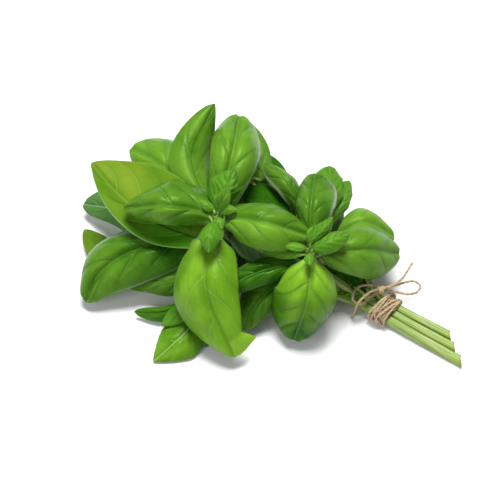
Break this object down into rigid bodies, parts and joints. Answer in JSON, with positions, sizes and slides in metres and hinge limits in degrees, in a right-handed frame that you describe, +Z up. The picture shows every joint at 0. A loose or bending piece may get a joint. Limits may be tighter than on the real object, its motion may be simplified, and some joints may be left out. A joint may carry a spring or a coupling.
{
  "type": "basil bunch",
  "caption": "Bunch of fresh leafy basil sprigs lying on its side, stems gathered and tied with a jute twine bow near their cut ends.",
  "frame": {"origin": "middle of the bunch's footprint, on the surface it lies on", "axes": "+X along the tied stems towards their cut ends, +Z up"},
  "size_m": [0.246, 0.1644, 0.0779],
  "materials": {
    "leaf": "glossy, quilted between the veins",
    "young_leaf": "soft satin, finely wrinkled",
    "pale_leaf": "matt underside, yellow-green",
    "bluish_leaf": "satin, blue-green",
    "shaded_leaf": "glossy, dark green",
    "stem": "satin, lightly grooved, pale green",
    "twine": "rough twisted jute"
  },
  "bodies": {
    "root": {"sprig1_young_upper": "young_leaf", "sprig1_young_small": "young_leaf", "sprig1_young_lower": "young_leaf", "sprig1_leaf_left": "leaf", "sprig1_leaf_right": "leaf", "sprig1_leaf_top": "leaf", "sprig1_leaf_pointed": "leaf", "sprig1_leaf_drooping": "leaf", "sprig1_leaf_low_front": "leaf", "sprig1_leaf_low_right": "shaded_leaf", "sprig2_leaf_lower": "leaf", "sprig2_leaf_shaded": "shaded_leaf", "sprig2_young_left": "young_leaf", "sprig2_young_right": "young_leaf", "sprig2_young_upper": "young_leaf", "sprig2_leaf_top": "leaf", "sprig2_leaf_right": "leaf", "sprig2_leaf_front": "leaf", "sprig2_small_leaf_1": "shaded_leaf", "sprig2_small_leaf_2": "shaded_leaf", "sprig3_leaf_pale": "pale_leaf", "sprig3_leaf_back": "leaf", "sprig3_leaf_big": "leaf", "sprig3_leaf_inner": "shaded_leaf", "sprig3_leaf_low": "shaded_leaf", "sprig3_small_leaf": "shaded_leaf", "shoot_left_leaf_bluish": "bluish_leaf", "shoot_left_leaf_tip": "pale_leaf", "shoot_left_leaf_under": "shaded_leaf", "shoot_front_leaf_edge": "leaf", "shoot_front_leaf_thin": "shaded_leaf", "shoot_front_leaf_pale": "pale_leaf", "shoot_front_leaf_small": "young_leaf", "shoot_front_leaf_dark": "bluish_leaf", "shoot_back_leaf_folded": "leaf", "shoot_back_leaf_dark": "shaded_leaf", "shoot_back_leaf_jagged": "leaf", "shoot_back_leaf_low_1": "shaded_leaf", "shoot_back_leaf_low_2": "shaded_leaf", "shoot_back_leaf_low_3": "shaded_leaf", "shoot_right_leaf_top": "young_leaf", "shoot_right_leaf_side": "young_leaf", "shoot_right_leaf_wide": "leaf", "shoot_right_leaf_low": "shaded_leaf", "sprig1_stem": "stem", "sprig2_stem": "stem", "sprig3_stem": "stem", "cut_stub": "stem", "shoot_back_stem": "stem", "shoot_front_stem": "stem", "shoot_left_stem": "stem", "shoot_right_stem": "stem", "sprig1_bud": "young_leaf", "sprig2_bud": "young_leaf", "twine_wrap": "twine", "twine_knot": "twine", "twine_loop_left": "twine", "twine_loop_right": "twine", "twine_tail_left": "twine", "twine_tail_right": "twine"}
  },
  "joints": []
}
